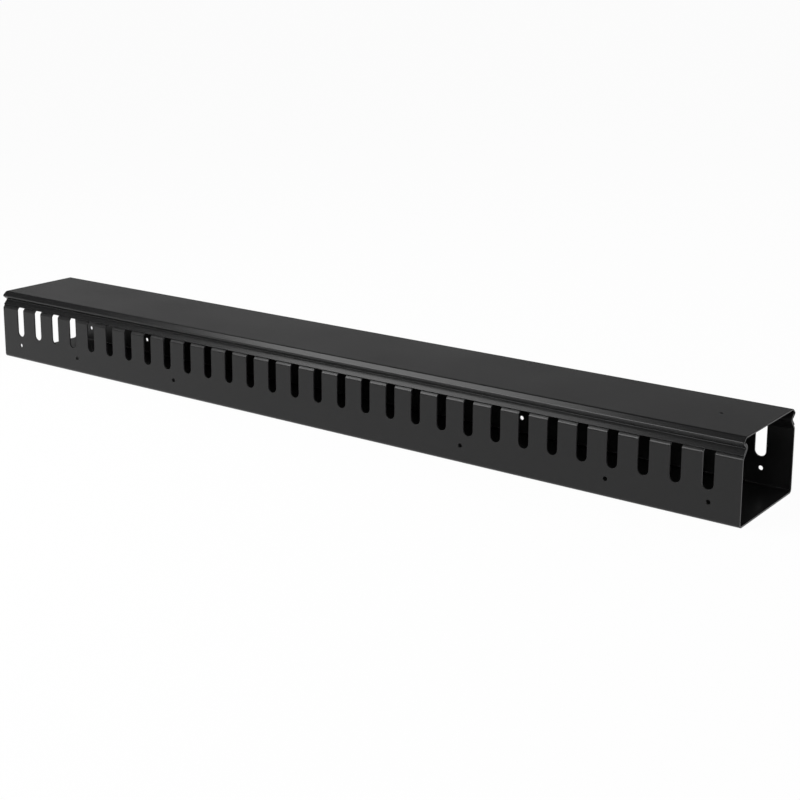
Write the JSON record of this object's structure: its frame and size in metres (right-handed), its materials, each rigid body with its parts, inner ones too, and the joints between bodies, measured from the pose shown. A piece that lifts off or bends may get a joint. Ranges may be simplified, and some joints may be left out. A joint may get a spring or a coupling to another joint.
{
  "type": "vertical cable manager",
  "caption": "Straight slotted steel duct with a press-on cover that guides cables up the side of an equipment rack.",
  "frame": {"origin": "middle of the underside of the channel's back, which is also the middle of the length and the width", "axes": "+X along the duct to the end with the cover's small hole, +Y across it to the rear wall, +Z from the back to the cover"},
  "size_m": [0.9144, 0.108, 0.077],
  "materials": {
    "channel_paint": "satin black powder coat",
    "cover_paint": "satin black powder coat"
  },
  "bodies": {
    "channel": {"channel": "channel_paint"},
    "cover": {"cover": "cover_paint"}
  },
  "joints": [
    {"name": "cover_slide", "type": "slide", "parent": "channel", "child": "cover", "axis": [1, 0, 0], "range_m": [-0.885, 0.885]}
  ]
}
